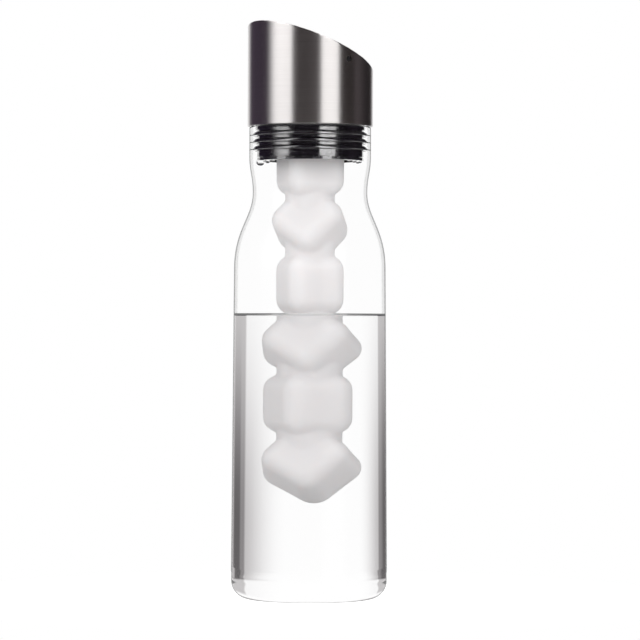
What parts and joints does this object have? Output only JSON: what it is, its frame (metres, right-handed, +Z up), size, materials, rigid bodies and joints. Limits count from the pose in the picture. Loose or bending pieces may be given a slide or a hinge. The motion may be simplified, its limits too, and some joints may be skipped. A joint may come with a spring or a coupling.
{
  "type": "glass carafe",
  "caption": "Slim clear glass water carafe with a slanted brushed-steel pour-through cap, a self-closing flap, a finned stopper and a frosted ice stick of stacked cubes hanging inside.",
  "frame": {"origin": "centre of the foot, on the surface that the carafe stands on", "axes": "+Z up along the axis of the glass, -X towards the spout (the high side of the cap), Y along the flap's pin"},
  "size_m": [0.0816, 0.0816, 0.3004],
  "materials": {
    "clear_glass": "clear, fire-polished",
    "brushed_steel": "satin, brushed round the tube",
    "turned_steel": "turned",
    "black_plastic": "fine satin",
    "black_silicone": "smooth silicone",
    "frosted_plastic": "frosted, slightly see-through",
    "white_silicone": "smooth silicone",
    "coolant": "clear gel"
  },
  "bodies": {
    "carafe": {"glass_body": "clear_glass"},
    "lid": {"cap_shell": "brushed_steel", "seat_ring": "black_plastic", "stopper_body": "black_plastic", "seal_sleeve": "black_silicone", "hinge_pin": "turned_steel"},
    "flap": {"flap_plate": "brushed_steel", "flap_carrier": "black_plastic", "counterweight": "turned_steel"},
    "ice_stick": {"stick_shell": "frosted_plastic", "coolant_core": "coolant", "stick_plug": "frosted_plastic", "plug_seal": "white_silicone"}
  },
  "joints": [
    {"name": "lid_lift", "type": "slide", "parent": "carafe", "child": "lid", "axis": [0, 0, 1], "range_m": [0, 0.205]},
    {"name": "flap_swing", "type": "hinge", "parent": "lid", "child": "flap", "pos_m": [0.0025, 0, 0.28029], "axis": [0, 1, 0], "range_deg": [0, 50]},
    {"name": "stick_unscrew", "type": "hinge", "parent": "lid", "child": "ice_stick", "pos_m": [0, 0, 0.246], "axis": [0, 0, 1], "range_deg": [0, 450]}
  ]
}
